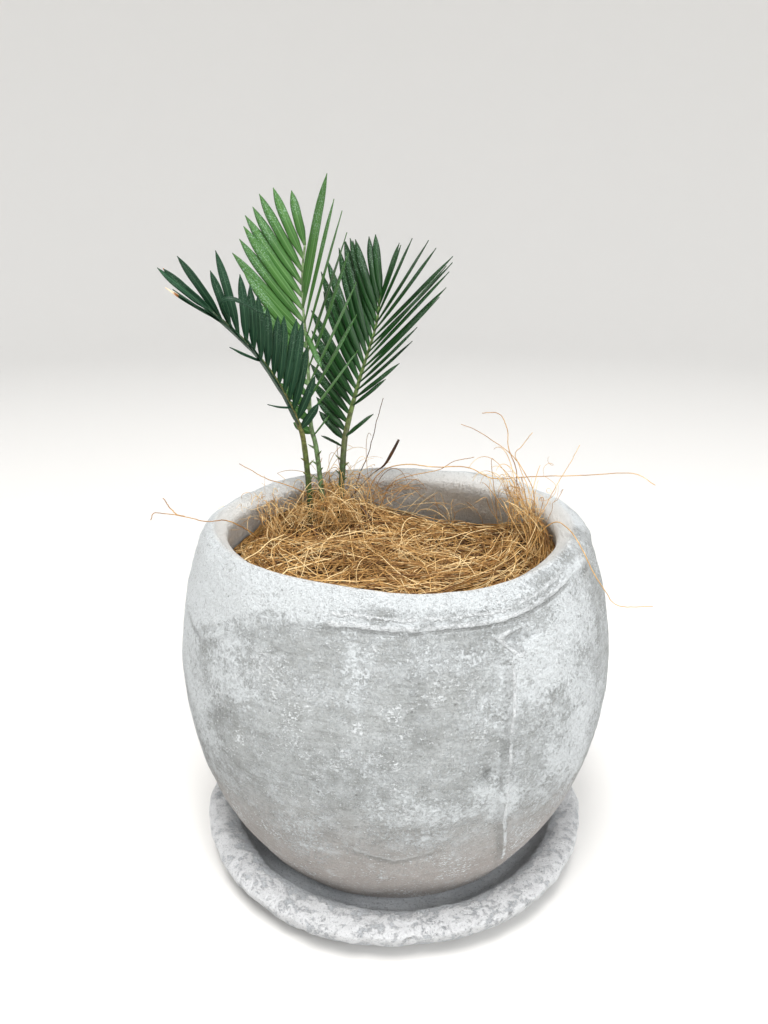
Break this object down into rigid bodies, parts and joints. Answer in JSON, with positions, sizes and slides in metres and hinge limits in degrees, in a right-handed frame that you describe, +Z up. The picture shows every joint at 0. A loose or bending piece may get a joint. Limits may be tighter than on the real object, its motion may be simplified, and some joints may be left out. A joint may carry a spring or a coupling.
{
  "type": "potted sago palm",
  "caption": "Young sago palm with feathery arching fronds growing from a coir-covered bulb in a round hand-finished cement pot that stands on a shallow cement saucer.",
  "frame": {"origin": "centre of the saucer's flat underside, where the part stands", "axes": "+Z up, the way the fronds grow; X to the right and +Y away from the side that the pot is seen from"},
  "size_m": [0.1704, 0.1472, 0.2309],
  "materials": {
    "saucer_cement": "matte",
    "pot_cement": "matte",
    "soil": "matte",
    "caudex": "matte",
    "coir": "matte",
    "leaf_dark_blue": "satin",
    "leaf_light": "satin",
    "leaf_dark": "satin"
  },
  "bodies": {
    "root": {"saucer": "saucer_cement", "pot": "pot_cement", "soil": "soil", "caudex": "caudex", "coir_mat": "coir", "frond_left": "leaf_dark_blue", "frond_centre": "leaf_light", "frond_right": "leaf_dark"}
  },
  "joints": []
}
